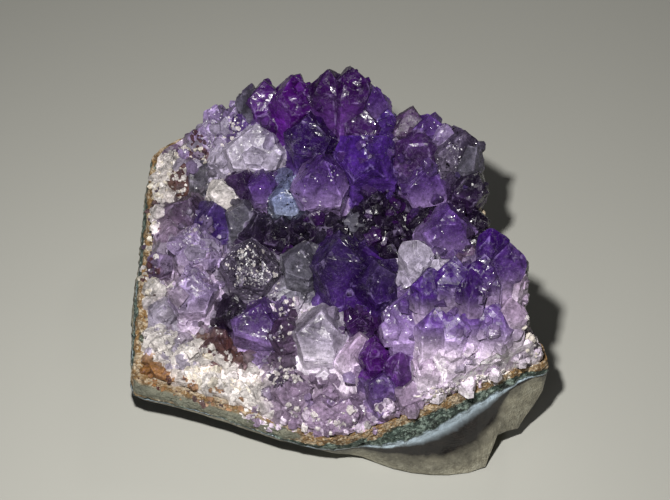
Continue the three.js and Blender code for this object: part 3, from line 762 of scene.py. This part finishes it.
@dataclass
class CrystalCrust:
    """The crust of violet quartz: the points of the source and the small ones between them."""

    seed: int = 7
    points: list[QuartzPoint] = field(default_factory=large_points)
    # small points in the dips: how many are tried, where, and how far below the ring round them
    dip_tries: int = 900
    dip_half: tuple[float, float] = (0.7, 1.9)
    dip_reach: tuple[float, float] = (46, 42)
    dip_ring: float = 4.0
    dip_depth: float = 1.0
    dip_play: float = 1.4
    dip_share: float = 0.6
    dip_stand: float = 1.1
    dip_length: tuple[float, float] = (2.6, 0.5)
    dark_left_bare: float = 0.6
    milky_part: float = 0.12
    milky_half: tuple[float, float] = (0.2, 0.6)
    blush_scale: float = 0.6
    above: float = 60.0
    # patches: the level that they are aimed at, and the largest point that may stand on the rind
    zone_level: float = 22.0
    zone_ray: float = 40.0
    zone_stand: tuple[float, float] = (0.5, 1.3)
    zone_length: float = 2.4
    largest_on_rind: float = 0.8
    # low parallel growths on the end faces
    steps_each: int = 3
    step_reach: tuple[float, float] = (0.15, 0.75)
    step_rise: tuple[float, float] = (-0.15, 0.35)
    step_half: tuple[float, float] = (0.2, 0.54)
    # bodies, and how far the crust of the source moves in under them and out round them
    kinds: int = 14
    chamfer: tuple[float, float] = (0.05, 1.5)
    drawn_in: float = 0.14
    let_out: float = 0.03
    # division, unevenness and spalled ridges
    longest_edge: float = 1.3
    underside: float = -0.3
    crease: float = math.radians(12)
    crease_step: float = 0.4
    swell: float = 0.22
    spall: float = 0.75
    spall_reach: float = 0.6
    spall_from: float = 0.1
    swell_per_mm: float = 0.45
    spall_per_mm: float = 0.8
    # paint: reach and strength of the painted highlight on the ridges and of the painted shade in
    # the crevices
    ridge_reach: float = 1.3
    ridge_highlight_gain: float = 0.35
    crevice_reach: float = 0.9
    crevice_shade_loss: tuple[float, float] = (0.15, 0.55)
    # span of the painted light and shade of each flat face, then of each point's own lightness
    painted_facet_light: tuple[float, float] = (0.78, 1.22)
    point_light: tuple[float, float] = (0.86, 1.14)
    root_clouding: float = 0.65

    def in_dips(self, tree: BVHTree) -> list[QuartzPoint]:
        """Sets small points in the dips of the crust.

        Args:
            tree: The crust of the source.

        Returns:
            Points that stand on it.
        """
        chance = random.Random(self.seed)
        down = Vector((0, 0, -1))
        ring = [Vector((self.dip_ring * math.cos(a), self.dip_ring * math.sin(a), 0))
                for a in (0.3, 1.5, 2.7, 3.9, 5.1)]
        found = []
        for i in range(self.dip_tries):
            start = Vector((*(chance.uniform(-r, r) for r in self.dip_reach), self.above))
            hit, normal, _, _ = tree.ray_cast(start, down)
            picks = [chance.random() for _ in range(5)]
            if hit is None or normal.z < 0.1:
                continue
            spots = [tree.ray_cast(start + aside, down)[0] for aside in ring]
            around = [spot.z for spot in spots if spot is not None]
            if not around or hit.z > (sum(around) / len(around) - self.dip_depth
                                      + self.dip_play * picks[0]):
                continue
            half = between(self.dip_half, picks[1] ** 2)
            tone = self.nearest(hit).tone
            if tone is Tone.DARK and picks[3] < self.dark_left_bare:
                continue
            if tone is Tone.BLUSH:
                half *= self.blush_scale
            if picks[3] < self.milky_part:
                half, tone = between(self.milky_half, picks[1]), Tone.MILK
            axis = (normal * 0.9 + Vector((picks[2] - 0.5, picks[4] - 0.5, 0.6))).normalized()
            by_half, more = self.dip_length
            found.append(QuartzPoint(hit + axis * half * self.dip_stand, half, axis,
                                     120 * picks[4], i, half * by_half + more, tone,
                                     self.dip_share))
        return found

    def steps(self) -> list[QuartzPoint]:
        """Sets low parallel growths on the end faces of the large points.

        Returns:
            Points that stand proud of the faces by a fraction of a millimetre.
        """
        found = []
        for i, parent in enumerate(self.points):
            for k in range(self.steps_each):
                picks = [scatter(i * 31 + k * 7 + j * 101) for j in range(5)]
                turn = math.radians(parent.bearing + 60 * int(picks[0] * 6)
                                    + 24 * (picks[1] - 0.5))
                aside = parent.half * between(self.step_reach, picks[2])
                rise = between(self.step_rise, picks[3])
                down = (aside * math.cos(FACE_TO_AXIS) - rise) / math.sin(FACE_TO_AXIS)
                place = Vector((math.cos(turn) * aside, math.sin(turn) * aside, -down))
                half = parent.half * between(self.step_half, picks[4])
                found.append(QuartzPoint(
                    parent.turned() @ place, half, parent.axis, parent.bearing, i + k,
                    parent.half, parent.tone, stem=parent.tip))
        return found

    def nearest(self, place: Vector) -> QuartzPoint:
        """Gives the large point whose middle is nearest to a place."""
        return min(self.points, key=lambda p: (p.tip - p.axis * p.half - place).length_squared)

    def in_zones(self, trees: list[BVHTree]) -> list[QuartzPoint]:
        """Sows the patches of druse.

        Args:
            trees: The crust and the rind of the source.

        Returns:
            Points that stand on it.
        """
        chance = random.Random(self.seed + 1)
        found = []
        for zone in ZONES:
            turn = math.radians(zone.turn)
            ray = Vector((0, zone.slant, -1)).normalized()
            for i in range(zone.count):
                reach, angle = math.sqrt(chance.random()), chance.uniform(0, 2 * math.pi)
                u = zone.radius_x * reach * math.cos(angle)
                v = zone.radius_y * reach * math.sin(angle)
                picks = [chance.random() for _ in range(6)]
                aim = Vector((zone.x + u * math.cos(turn) - v * math.sin(turn),
                              zone.y + u * math.sin(turn) + v * math.cos(turn), 0)) - MIDDLE
                aim.z = self.zone_level
                crust, rind = (tree.ray_cast(aim - ray * self.zone_ray, ray) for tree in trees)
                on_rind = crust[0] is None or (rind[0] is not None and rind[3] < crust[3])
                hit, normal, _, _ = rind if on_rind else crust
                half = between((zone.smallest, zone.largest), picks[0] ** 2)
                if hit is None or on_rind and (normal.z < 0.6 or half > self.largest_on_rind):
                    continue
                way = Vector((picks[1] - 0.5, picks[2] - 0.5, picks[3] - 0.2))
                axis = (normal * 0.8 + way * 1.3).normalized()
                tone = zone.tones[int(picks[4] * len(zone.tones))]
                found.append(QuartzPoint(
                    hit + axis * half * between(self.zone_stand, picks[5]), half, axis,
                    120 * picks[5], i, half * self.zone_length, tone, zone.share))
        return found

    def small_bodies(self, found: list[QuartzPoint]) -> list[bpy.types.Mesh]:
        """Makes the small points from a few cut bodies.

        Args:
            found: The small points.

        Returns:
            A mesh for each, in its place.
        """
        stock = []
        for k in range(self.kinds):
            chip = (scatter(k) - 0.5, scatter(k + 50) - 0.5, 0.3 + 0.5 * scatter(k + 90))
            form = QuartzPoint(Vector(), 1.0, Vector((0, 0, 1)), 0, 31 + k, 2.6, Tone.MILK,
                               broken=chip if k % 2 else None)
            stock.append(mesh_of(form.body(), "stock"))
        bodies = []
        for i, point in enumerate(found):
            bodies.append(stock[i % self.kinds].copy())
            bodies[-1].transform(
                point.turned() @ Matrix.Rotation(math.radians(point.bearing), 4, "Z")
                @ Matrix.Diagonal((point.half, point.half, point.half, 1)))
        for mesh in stock:
            bpy.data.meshes.remove(mesh)
        return bodies

    def grown(self, small: list[QuartzPoint]) -> bpy.types.Mesh:
        """Joins every point with the crust of the source in one closed mesh.

        Args:
            small: The small points.

        Returns:
            The joined mesh in millimetres, with the owner and chamfer of each face.
        """
        large, limit, rest = (bpy.data.collections.new(name)
                              for name in ("large_points", "room", "bed_and_small_points"))
        for i, point in enumerate(self.points):
            bm = point.body()
            point.chamfer(bm, self.chamfer)
            sides = [n for n, _ in point.planes()]
            worn = [int(f.normal.z > -0.5 and max(f.normal.dot(n) for n in sides) < 0.9995)
                    for f in bm.faces]
            mesh = mesh_of(bm, "point")
            mesh.transform(point.turned())
            self.collect(large, mesh, i, worn)
        for i, mesh in enumerate(self.small_bodies(small)):
            self.collect(rest, mesh, i + len(self.points))
        self.collect(rest, self.source_crust(-self.drawn_in), -1)
        self.collect(limit, self.source_crust(self.let_out), -1)

        whole = large.objects[0]
        large.objects.unlink(whole)
        bpy.context.scene.collection.objects.link(whole)
        for operation, operands in (("UNION", large), ("INTERSECT", limit), ("UNION", rest)):
            step = whole.modifiers.new(operands.name, "BOOLEAN")
            step.operation = operation
            step.operand_type = "COLLECTION"
            step.collection = operands
            step.solver = "MANIFOLD"
        graph = bpy.context.evaluated_depsgraph_get()
        joined = bpy.data.meshes.new_from_object(whole.evaluated_get(graph))
        for group in (large, limit, rest):
            for extra in list(group.objects):
                bpy.data.meshes.remove(extra.data)
            bpy.data.collections.remove(group)
        bpy.data.meshes.remove(whole.data)
        return joined

    def source_crust(self, offset: float) -> bpy.types.Mesh:
        """Copies the crust of the source with its surface moved in or out.

        Args:
            offset: How far out each vertex moves.

        Returns:
            The mesh in millimetres.
        """
        bm = cad_copy("crystal_crust")
        bm.normal_update()
        for v, move in [(v, v.normal * offset) for v in bm.verts]:
            v.co += move
        return mesh_of(bm, "crust")

    def collect(self, group: bpy.types.Collection, mesh: bpy.types.Mesh, owner: int,
                worn: list[int] | None = None) -> None:
        """Puts a body in a collection, with its owner and chamfers marked on its faces.

        Args:
            group: The collection.
            mesh: The body.
            owner: Number of its point, or -1.
            worn: For each face, 1 on a chamfer.
        """
        count = len(mesh.polygons)
        mark(mesh, "owner", [owner] * count, "INT", "FACE")
        mark(mesh, "chamfered", worn or [0] * count, "INT", "FACE")
        group.objects.link(bpy.data.objects.new("body", mesh))

    def owners(self, mesh: bpy.types.Mesh) -> np.ndarray:
        """Finds the point of every face, for the faces of the source the nearest large one.

        Args:
            mesh: The joined crust, in millimetres.

        Returns:
            The number of a point for each face.
        """
        centres = values_of(mesh.polygons, "center", 3)
        owner = values_of(mesh.attributes["owner"].data, "value", kind=np.int32)
        best = np.full(len(centres), np.inf)
        near = np.zeros(len(centres), dtype=np.int32)
        for i, point in enumerate(self.points):
            back = np.array(point.turned().inverted())
            local = centres @ back[:3, :3].T + back[:3, 3]
            reach = np.abs(np.max([local @ np.array(n) - d for n, d in point.planes()], axis=0))
            closer = reach < best
            best[closer], near[closer] = reach[closer], i
        return np.where(owner < 0, near, owner)

    def refined(self, mesh: bpy.types.Mesh) -> bpy.types.Mesh:
        """Splits the long edges, so that colour can vary across a face, and measures each vertex.

        Args:
            mesh: The joined crust, which is used up.

        Returns:
            The finer mesh, with the nearness of a ridge and of a crevice at each vertex.
        """
        bm = bmesh.new()
        bm.from_mesh(mesh)
        bpy.data.meshes.remove(mesh)
        bmesh.ops.remove_doubles(bm, verts=bm.verts, dist=1e-3)
        bmesh.ops.triangulate(bm, faces=bm.faces)
        creases: dict[str, list[Vector]] = {"to_ridge": [], "to_crevice": []}
        for edge in bm.edges:
            angle = edge.calc_face_angle_signed(0.0) if len(edge.link_faces) == 2 else 0.0
            if abs(angle) < self.crease:
                continue
            one, other = (v.co for v in edge.verts)
            steps = max(1, int((one - other).length / self.crease_step))
            creases["to_ridge" if angle > 0 else "to_crevice"].extend(
                one.lerp(other, k / steps) for k in range(steps + 1))
        # the underside lies on the rind and stays coarse
        split_long_edges(bm, self.longest_edge, 5, self.underside)
        near = {}
        for name, spots in creases.items():
            tree = KDTree(len(spots))
            for i, spot in enumerate(spots):
                tree.insert(spot, i)
            tree.balance()
            near[name] = [tree.find(v.co)[2] for v in bm.verts]
        fine = mesh_of(bm, "crust")
        for name, values in near.items():
            mark(fine, name, values)
        return fine

    def weather(self, mesh: bpy.types.Mesh) -> None:
        """Makes the faces uneven and spalls the ridges here and there.

        Args:
            mesh: The painted crust, in millimetres.
        """
        places = values_of(mesh.vertices, "co", 3)
        normals = values_of(mesh.vertex_normals, "vector", 3)
        ridge = values_of(mesh.attributes["to_ridge"].data, "value")
        spots = [Vector(place) for place in places]
        wave = [noise.fractal(p * self.swell_per_mm, 1.0, 2.0, 3) for p in spots]
        lost = [noise.noise(p * self.spall_per_mm + Vector((3, 8, 5))) for p in spots]
        wave = np.array(wave) * self.swell
        loss = np.clip(np.array(lost) - self.spall_from, 0, 1) * self.spall
        loss *= np.clip(1 - ridge / self.spall_reach, 0, 1)
        places += normals * (wave - loss)[:, None]
        mesh.vertices.foreach_set("co", places.ravel())
        mesh.update()

    def surroundings(self, places: np.ndarray) -> np.ndarray:
        """Mixes the colours of the large points at every vertex, each weighed by its distance.

        Args:
            places: The vertices.

        Returns:
            A linear colour for each.
        """
        total, weights = np.zeros_like(places), np.zeros(len(places))
        for point in self.points:
            tip, axis = np.array(point.tip), np.array(point.axis)
            weight = 1 / (((places - (tip - axis * point.half * 1.5)) ** 2).sum(1) + 6) ** 2
            start, end = point.tone.value[2:4]
            fade = smoothstep(start, end, (tip - places) @ axis)[:, None]
            ends = [np.array(srgb(code)[:3]) for code in point.tone.value[:2]]
            total += weight[:, None] * (ends[0] * (1 - fade) + ends[1] * fade)
            weights += weight
        return total / weights[:, None]

    def paint(self, mesh: bpy.types.Mesh, small: list[QuartzPoint]) -> None:
        """Writes the tone, habit and growth attributes.

        Args:
            mesh: The joined crust, in millimetres.
            small: The small points.
        """
        every = [*self.points, *small]
        tips = np.array([p.stem or p.tip for p in every])
        axes = np.array([p.axis for p in every])
        ends = np.array([[srgb(code)[:3] for code in p.tone.value[:2]] for p in every])
        spans = np.array([p.tone.value[2:4] for p in every], dtype=float)
        habit = np.array([p.tone.value[4:7] for p in every])
        light = np.array([between(self.point_light, scatter(i + 0.5)) for i in range(len(every))])
        shares = np.array([p.share for p in every])
        halves = np.array([p.half for p in every])

        owner = self.owners(mesh)
        places = values_of(mesh.vertices, "co", 3)
        corner = values_of(mesh.loops, "vertex_index", kind=np.int32)
        face = np.repeat(np.arange(len(mesh.polygons)),
                         values_of(mesh.polygons, "loop_total", kind=np.int32))
        worn, ridge, crevice = (
            values_of(mesh.attributes[name].data, "value", kind=kind)
            for name, kind in (("chamfered", np.int32), ("to_ridge", float), ("to_crevice", float)))
        own, at = owner[face], places[corner]

        depth = ((tips[own] - at) * axes[own]).sum(1)
        fade = smoothstep(spans[own, 0], spans[own, 1], depth)[:, None]
        colour = (ends[own, 0] * (1 - fade) + ends[own, 1] * fade) * light[own][:, None]
        # painted light and shade: each flat face is made lighter or darker at random, as if it
        # caught the light differently
        turns = np.round(values_of(mesh.polygons, "normal", 3) * 12)
        lot = np.sin(turns @ np.array([12.9898, 78.233, 37.719]) + owner) * 43758.5453
        colour *= between(self.painted_facet_light, lot - np.floor(lot))[face][:, None]
        near_ridge = np.clip(1 - ridge[corner] / self.ridge_reach, 0, 1)
        large = np.clip(halves / 4, 0, 1)[own]
        # painted shade darkens the crevices, less in pale quartz that light gets into, and painted
        # highlight makes the ridges paler than a dark heart
        dense = np.clip(1.3 - 1.3 * colour.max(axis=1), 0.1, 1)
        colour *= (1 + self.ridge_highlight_gain * near_ridge * large * dense)[:, None]
        shade = 1 - between(self.crevice_shade_loss, large) * dense * np.exp(
            -crevice[corner] / self.crevice_reach)
        share = shares[own][:, None]
        around = self.surroundings(places)[corner]
        tone, kind = np.ones((2, len(at), 4))
        tone[:, :3] = (colour * (1 - share) + around * share) * shade[:, None]
        kind[:, :3] = habit[own]
        kind[:, 0] *= 1 - self.root_clouding * fade[:, 0]
        kind[:, 3] = np.maximum(near_ridge * large, worn[face])
        for name, values in (("tone", tone), ("habit", kind)):
            layer = mesh.color_attributes.new(name, "FLOAT_COLOR", "CORNER")
            layer.data.foreach_set("color", values.ravel())
        mark(mesh, "growth", depth, domain="CORNER")

    def build(self) -> bpy.types.Object:
        """Builds the crust and dresses it.

        Returns:
            The finished piece.
        """
        trees = []
        for node in ("crystal_crust", "agate_rind"):
            ground = cad_copy(node)
            trees.append(BVHTree.FromBMesh(ground))
            ground.free()
        small = [*self.in_dips(trees[0]), *self.steps(), *self.in_zones(trees)]
        LOG.info("small points: %d", len(small))
        joined = self.refined(self.grown(small))
        self.paint(joined, small)
        self.weather(joined)
        return finish_piece("amethyst_crust", joined, AmethystFinish().material(),
                            "crystal_crust")


# The layers of the rind along its rim, in order round the piece: x, y and height of the rim, then
# thickness of the ochre, the green, the blue-grey, the dark chalcedony and the pale margin
RIM_LAYERS = (
    (46, -31.6, 21, 2.4, 1.4, 0.4, 0, 14),
    (43, -25, 22, 2.2, 2.4, 0.8, 0, 6),
    (40.5, -17, 23, 2.0, 2.2, 0.8, 0, 2),
    (38, -8, 24, 1.8, 2.2, 0.8, 0, 0.5),
    (35.5, 1, 25, 1.8, 2.2, 0.8, 0, 0.5),
    (33.5, 9, 26, 1.8, 2.4, 0.8, 0, 0.5),
    (30.5, 17, 27, 1.8, 2.4, 0.8, 0, 0.5),
    (24, 23, 28, 1.8, 2.2, 0.8, 0, 0.5),
    (16, 28, 28, 1.8, 2.2, 0.8, 0, 0.5),
    (8, 31, 28, 1.8, 2.2, 0.8, 0, 0.5),
    (-2, 33, 27, 1.8, 2.2, 0.8, 0, 0.5),
    (-12, 35, 26, 1.8, 2.2, 0.8, 0, 0.5),
    (-22, 36.5, 24, 1.8, 2.2, 0.6, 0, 0.5),
    (-32, 36, 22, 2.0, 2.2, 0.4, 0, 0.5),
    (-39, 33, 20.6, 2.2, 2.0, 0.3, 0, 0.5),
    (-43.4, 29, 20, 1.4, 2.4, 0.2, 0, 0.5),
    (-44, 20, 18, 1.0, 2.6, 0.2, 0, 0.5),
    (-44, 9, 16, 0.8, 2.6, 0.2, 0, 0.5),
    (-44.4, -3, 14.5, 0.8, 2.6, 0.2, 0, 0.5),
    (-44.4, -15, 13.2, 0.8, 2.6, 0.2, 0, 0.5),
    (-44.2, -25, 12.4, 1.2, 1.8, 0.2, 0, 0.5),
    (-43.9, -32.2, 12, 2.4, 0.3, 0.1, 0, 2.2),
    (-38.5, -34.2, 11.5, 2.2, 0.3, 0.1, 0, 2.4),
    (-30, -36.6, 10.8, 1.8, 0.3, 0.1, 0, 2.6),
    (-21, -39.6, 10.2, 1.6, 0.4, 0.1, 0, 2.6),
    (-12, -43, 10, 1.8, 0.8, 0.2, 0, 2.4),
    (-4, -45, 10.3, 2.0, 2.2, 0.3, 0.5, 4),
    (3, -45.4, 11.2, 1.8, 3.0, 0.2, 0.6, 8),
    (9, -44.2, 13, 1.9, 4.4, 0.5, 2.2, 8),
    (15, -42.6, 15.3, 1.9, 4.4, 1.5, 5.0, 8),
    (21, -41, 17.3, 1.8, 3.6, 2.2, 7.4, 8),
    (27.5, -38.7, 19, 1.7, 2.8, 2.0, 8.8, 8),
    (32.4, -37, 19.6, 1.6, 2.4, 1.4, 6.5, 9),
    (37, -35.2, 20.1, 1.6, 2.0, 0.5, 0.6, 14),
    (42, -33.3, 20.6, 1.6, 1.6, 0.3, 0, 14),
)


@dataclass(frozen=True)
class RindFinish:
    """Agate rind: iron-stained rim, speckled celadonite, banded chalcedony, rough outside.

    The layer attribute counts the layers down from the rim: ochre below 1, green below 2,
    blue-grey below 3, dark chalcedony below 4, its pale margin below 5, rough skin from 5,
    and the milky contact under the crystals at 7.
    """

    name: str = "agate_rind"
    layer_top: float = 8.0
    # where each layer starts, and half the width of the step to it
    starts: tuple[tuple[float, float], ...] = (
        (0, 0), (1, 0.12), (2, 0.14), (3, 0.2), (4, 0.3), (5, 0.2), (6.4, 0.1))
    # each layer's main colour, and those of its pale mottles and of its stains
    main: str = "#84663e #33423b #a8b8c4 #1e1c1c #868272 #33342e #33342e"
    mottles: str = "#c4b49c #8a9a90 #9aa8b4 #463c34 #a4a292 #55564c #b4aab8"
    stains: str = "#4c3824 #0c1210 #545f66 #201e1e #5c584c #1c1c19 #80768a"
    # how smooth and waxy each layer is, from black to white
    waxy: str = "#000000 #1a1a1a #e0e0e0 #ffffff #c0c0c0 #000000 #000000"
    crumbs: str = "#b4a898"
    lip: str = "#6c7064"
    speck_mm: float = 0.45
    relief: float = 0.8
    relief_mm: float = 0.6

    def ramp(self, add: Callable[..., bpy.types.Node], place: bpy.types.Node,
             codes: str) -> bpy.types.Node:
        """Adds a ramp with one colour for each layer and narrow steps between them.

        Args:
            add: Adds a node to the tree.
            place: The layer count over the highest one.
            codes: Colours of the ochre, green, blue-grey, dark, pale, skin and contact layers.

        Returns:
            The ramp.
        """
        node = add("ValToRGB", (place,))
        colours = [srgb(code) for code in codes.split()]
        stops = [(edge + half, colour) for (edge, half), colour in zip(self.starts, colours)]
        stops += [(edge - half, colour) for (edge, half), colour in zip(self.starts[1:], colours)]
        stops.sort()
        elements = node.color_ramp.elements
        for _ in stops[2:]:
            elements.new(0.5)
        for element, (position, _) in zip(elements, stops):
            element.position = position / self.layer_top
        for element, (_, colour) in zip(elements, stops):
            element.color = colour
        return node

    def material(self) -> bpy.types.Material:
        """Builds the material.

        Returns:
            A material that reads the layer, contact and lip attributes.
        """
        mat, add = new_material(self.name)
        where = add("TexCoord").outputs["Object"]
        layer, contact, lip = (add("Attribute", attribute_name=name).outputs["Fac"]
                               for name in ("layer", "contact", "lip"))
        wide, mottle, stain = (
            add("TexNoise", {"Vector": where, "Scale": 1 / (size * MM), "Detail": detail,
                             "Roughness": strength, "Distortion": swirl})
            for size, detail, strength, swirl in RIND_NOISES.values())
        speck = add("TexVoronoi", {"Vector": where, "Scale": 1 / (self.speck_mm * MM)})
        # chalcedony is smooth and waxy, so the grain fades out over it
        even = add("Math", (layer, self.layer_top), operation="DIVIDE")
        smooth = self.ramp(add, even, self.waxy)
        # the rough layers waver by a part of their thickness
        waver = add("Math", (add("MapRange", (wide, 0.3, 0.7, -0.4, 0.4)),
                             add("MapRange", (smooth, 0, 1, 1, 0.25))), operation="MULTIPLY")
        place = add("Math", (add("Math", (layer, waver), operation="ADD"), self.layer_top),
                    operation="DIVIDE")
        main, mottles, stains = (self.ramp(add, place, codes)
                                 for codes in (self.main, self.mottles, self.stains))
        lot = add("SeparateColor", (speck.outputs["Color"],))
        grains = add("Math", (lot, 0.9), operation="GREATER_THAN")
        # blotches, stains and specks, none of them on chalcedony, then the milky crumbs and
        # stains where the crust stood and the grey lip of the front left
        colour = main
        for factor, strength, over in (
            (add("MapRange", (mottle, 0.47, 0.6)), 0.9, mottles),
            (add("MapRange", (stain, 0.5, 0.6)), 0.85, stains),
            (grains, 0.7, mottles), (smooth, 0.85, main),
            (contact, 0.85, srgb(self.crumbs)), (lip, 0.9, srgb(self.lip)),
        ):
            share = add("Math", (factor, strength), operation="MULTIPLY")
            colour = add("Mix", {"Factor": share, "A": colour, "B": over}, data_type="RGBA")
        body = add("VectorMath", {
            0: colour, "Scale": add("MapRange", (wide, 0.3, 0.7, 0.72, 1.3))}, operation="SCALE")
        grit = add("Math", (speck, 0.6, mottle), operation="MULTIPLY_ADD")
        height = add("Math", (grit, add("MapRange", (smooth, 0, 1, 1, 0.06))),
                     operation="MULTIPLY")
        bump = add("Bump", {
            "Height": height, "Strength": self.relief, "Distance": self.relief_mm * MM})
        shader = add("BsdfPrincipled", {
            "Base Color": body, "Roughness": add("MapRange", (smooth, 0, 1, 0.8, 0.2)),
            "IOR": AGATE_IOR, "Normal": bump})
        add("OutputMaterial", (shader,))
        return mat


@dataclass
class AgateRind:
    """The rind: the solid of the source, broken up more finely and layered."""

    rows: tuple[tuple[float, ...], ...] = RIM_LAYERS
    middle: tuple[float, float] = (0, -4)
    longest_edge: float = 0.95
    skin_relief: float = 0.45
    crumb_relief: float = 0.3
    waxy_relief: float = 0.3
    lip_width: float = 1.7
    lip_blur: float = 0.4
    lip_margin: tuple[float, float, float, float] = (1.6, 2.2, 2.8, 3.6)
    waxy_layers: tuple[float, float, float, float] = (2.2, 2.8, 4.7, 5.2)
    contact_gap: tuple[float, float] = (3, 5)
    flat_foot: float = 1.5
    ledge_layer: float = 0.7
    skin_depth: float = 3.0

    def layer_at(
        self, place: np.ndarray, ends: np.ndarray
    ) -> tuple[float, np.ndarray, float, float]:
        """Finds how many layers down from the rim a place of the outside lies.

        Args:
            place: The place, in millimetres.
            ends: The rows of the rim, in the part's own frame.

        Returns:
            The layer count, the nearest point of the rim, its distance, and the thickness of the
            pale margin there.
        """
        start, step = ends, np.roll(ends, -1, axis=0) - ends
        along = ((place - start[:, :3]) * step[:, :3]).sum(1) / (step[:, :3] ** 2).sum(1)
        along = np.clip(along, 0, 1)[:, None]
        nearest = start + step * along
        gaps = np.linalg.norm(nearest[:, :3] - place, axis=1)
        k = int(np.argmin(gaps))
        bounds = [0.0, *np.cumsum(nearest[k, 3:])]
        count = np.interp(gaps[k], [*bounds, bounds[-1] + self.skin_depth], range(len(bounds) + 1))
        return float(count), nearest[k, :3], float(gaps[k]), float(nearest[k, -1])

    def build(self) -> bpy.types.Object:
        """Builds the rind and dresses it.

        Returns:
            The finished piece.
        """
        bm = cad_copy("agate_rind")
        split_long_edges(bm, self.longest_edge, 7)
        ends = np.array(self.rows, dtype=float)
        ends[:, :3] -= np.array(MIDDLE)
        centre = Vector(self.middle) - MIDDLE.xy
        found = []
        for v in bm.verts:
            count, rim, gap, margin = self.layer_at(np.array(v.co), ends)
            inward = (v.co.xy - centre).length < (Vector(rim[:2]) - centre).length
            inside = inward and v.normal.z > 0.1
            found.append((min(count, self.ledge_layer) if inside else count, inside, gap, margin,
                          v.co.z))
        layer, inside, gap, margin, level = np.array(found, dtype=float).T
        width = self.lip_width * band(self.lip_margin, margin)
        lip = 1 - smoothstep(width - self.lip_blur, width + self.lip_blur, gap)
        # chalcedony breaks smooth, the rim and the outside are rough, and the foot stays flat
        smooth = band(self.waxy_layers, layer)
        free = smoothstep(0, self.flat_foot, level)
        for v, waxy, share in zip(bm.verts, smooth.tolist(), free.tolist()):
            swell = noise.fractal(v.co * 0.4, 1.0, 2.0, 4) * self.skin_relief
            crumb = noise.fractal(v.co * 1.3 + Vector((9, 4, 2)), 1.0, 2.0, 2) * self.crumb_relief
            flat = noise.noise(v.co * 0.16) * self.waxy_relief
            height = (swell + crumb) * (1 - waxy) + flat * waxy
            v.co += v.normal * height * share
            v.co.z = max(v.co.z, 0.0)
        mesh = mesh_of(bm, "rind")
        mark(mesh, "layer", layer)
        mark(mesh, "contact", inside * smoothstep(*self.contact_gap, gap))
        mark(mesh, "lip", (width > self.lip_blur) * lip)
        return finish_piece("agate_rind_skin", mesh, RindFinish().material(),
                            "agate_rind")


@dataclass
class Studio:
    """Pale floor, a near key light above, weak fills before and behind, and the camera."""

    target: Vector = field(default_factory=lambda: Vector((0, 0, 0.02)) - MIDDLE * MM)
    distance: float = 0.4
    elevation: float = 50.0
    lens: float = 95.0
    floor_half: float = 3.0
    floor_colour: str = "#aeaea8"
    room_colour: str = "#d8dade"
    glow: float = 0.024
    # each light's name, place, size, power and colour
    lights: tuple[tuple[str, tuple[float, float, float], float, float, str], ...] = (
        ("key", (-0.024, -0.115, 0.245), 0.013, 0.84, "#fffdf8"),
        ("front", (-0.16, -0.42, 0.30), 0.12, 0.08, "#f6f8ff"),
        ("rear", (0.24, 0.40, 0.30), 0.07, 0.22, "#fbf8f2"),
    )

    def build(self) -> None:
        """Builds the floor, the lights, the world and the camera."""
        scene = bpy.context.scene
        bm = bmesh.new()
        bmesh.ops.create_grid(bm, x_segments=1, y_segments=1, size=self.floor_half)
        floor = put("floor", mesh_of(bm, "floor"))
        # matt plaster: a plain pale ground that takes the shadow
        mat, add = new_material("matt_plaster")
        add("OutputMaterial", (add("BsdfPrincipled", {
            "Base Color": srgb(self.floor_colour), "Roughness": 0.8}),))
        floor.data.materials.append(mat)

        scene.world = bpy.data.worlds.new("room")
        scene.world.use_nodes = True
        back = scene.world.node_tree.nodes["Background"]
        back.inputs["Color"].default_value = srgb(self.room_colour)
        back.inputs["Strength"].default_value = self.glow
        scene.view_settings.view_transform = "Standard"

        for name, place, size, power, colour in self.lights:
            light = bpy.data.lights.new(name, "AREA")
            light.size, light.energy, light.color = size, power, srgb(colour)[:3]
            lamp = put(name, light)
            lamp.location = place
            aim = self.target - Vector(place)
            lamp.rotation_euler = aim.to_track_quat("-Z", "Y").to_euler()

        camera = bpy.data.cameras.new("camera")
        camera.lens, camera.sensor_width, camera.clip_start = self.lens, 36.0, 0.01
        scene.camera = put("camera", camera)
        rise = math.radians(self.elevation)
        back_off = Vector((0, -math.cos(rise), math.sin(rise)))
        scene.camera.location = self.target + self.distance * back_off
        scene.camera.rotation_euler = (math.radians(90) - rise, 0, 0)


def main() -> None:
    """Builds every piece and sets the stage."""
    logging.basicConfig(level=logging.INFO, format="%(name)s: %(message)s")
    for piece in (CrystalCrust(), AgateRind()):
        made = piece.build()
        LOG.info("built %s", made.name)
    Studio().build()
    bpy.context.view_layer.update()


if __name__ == "__main__":
    main()
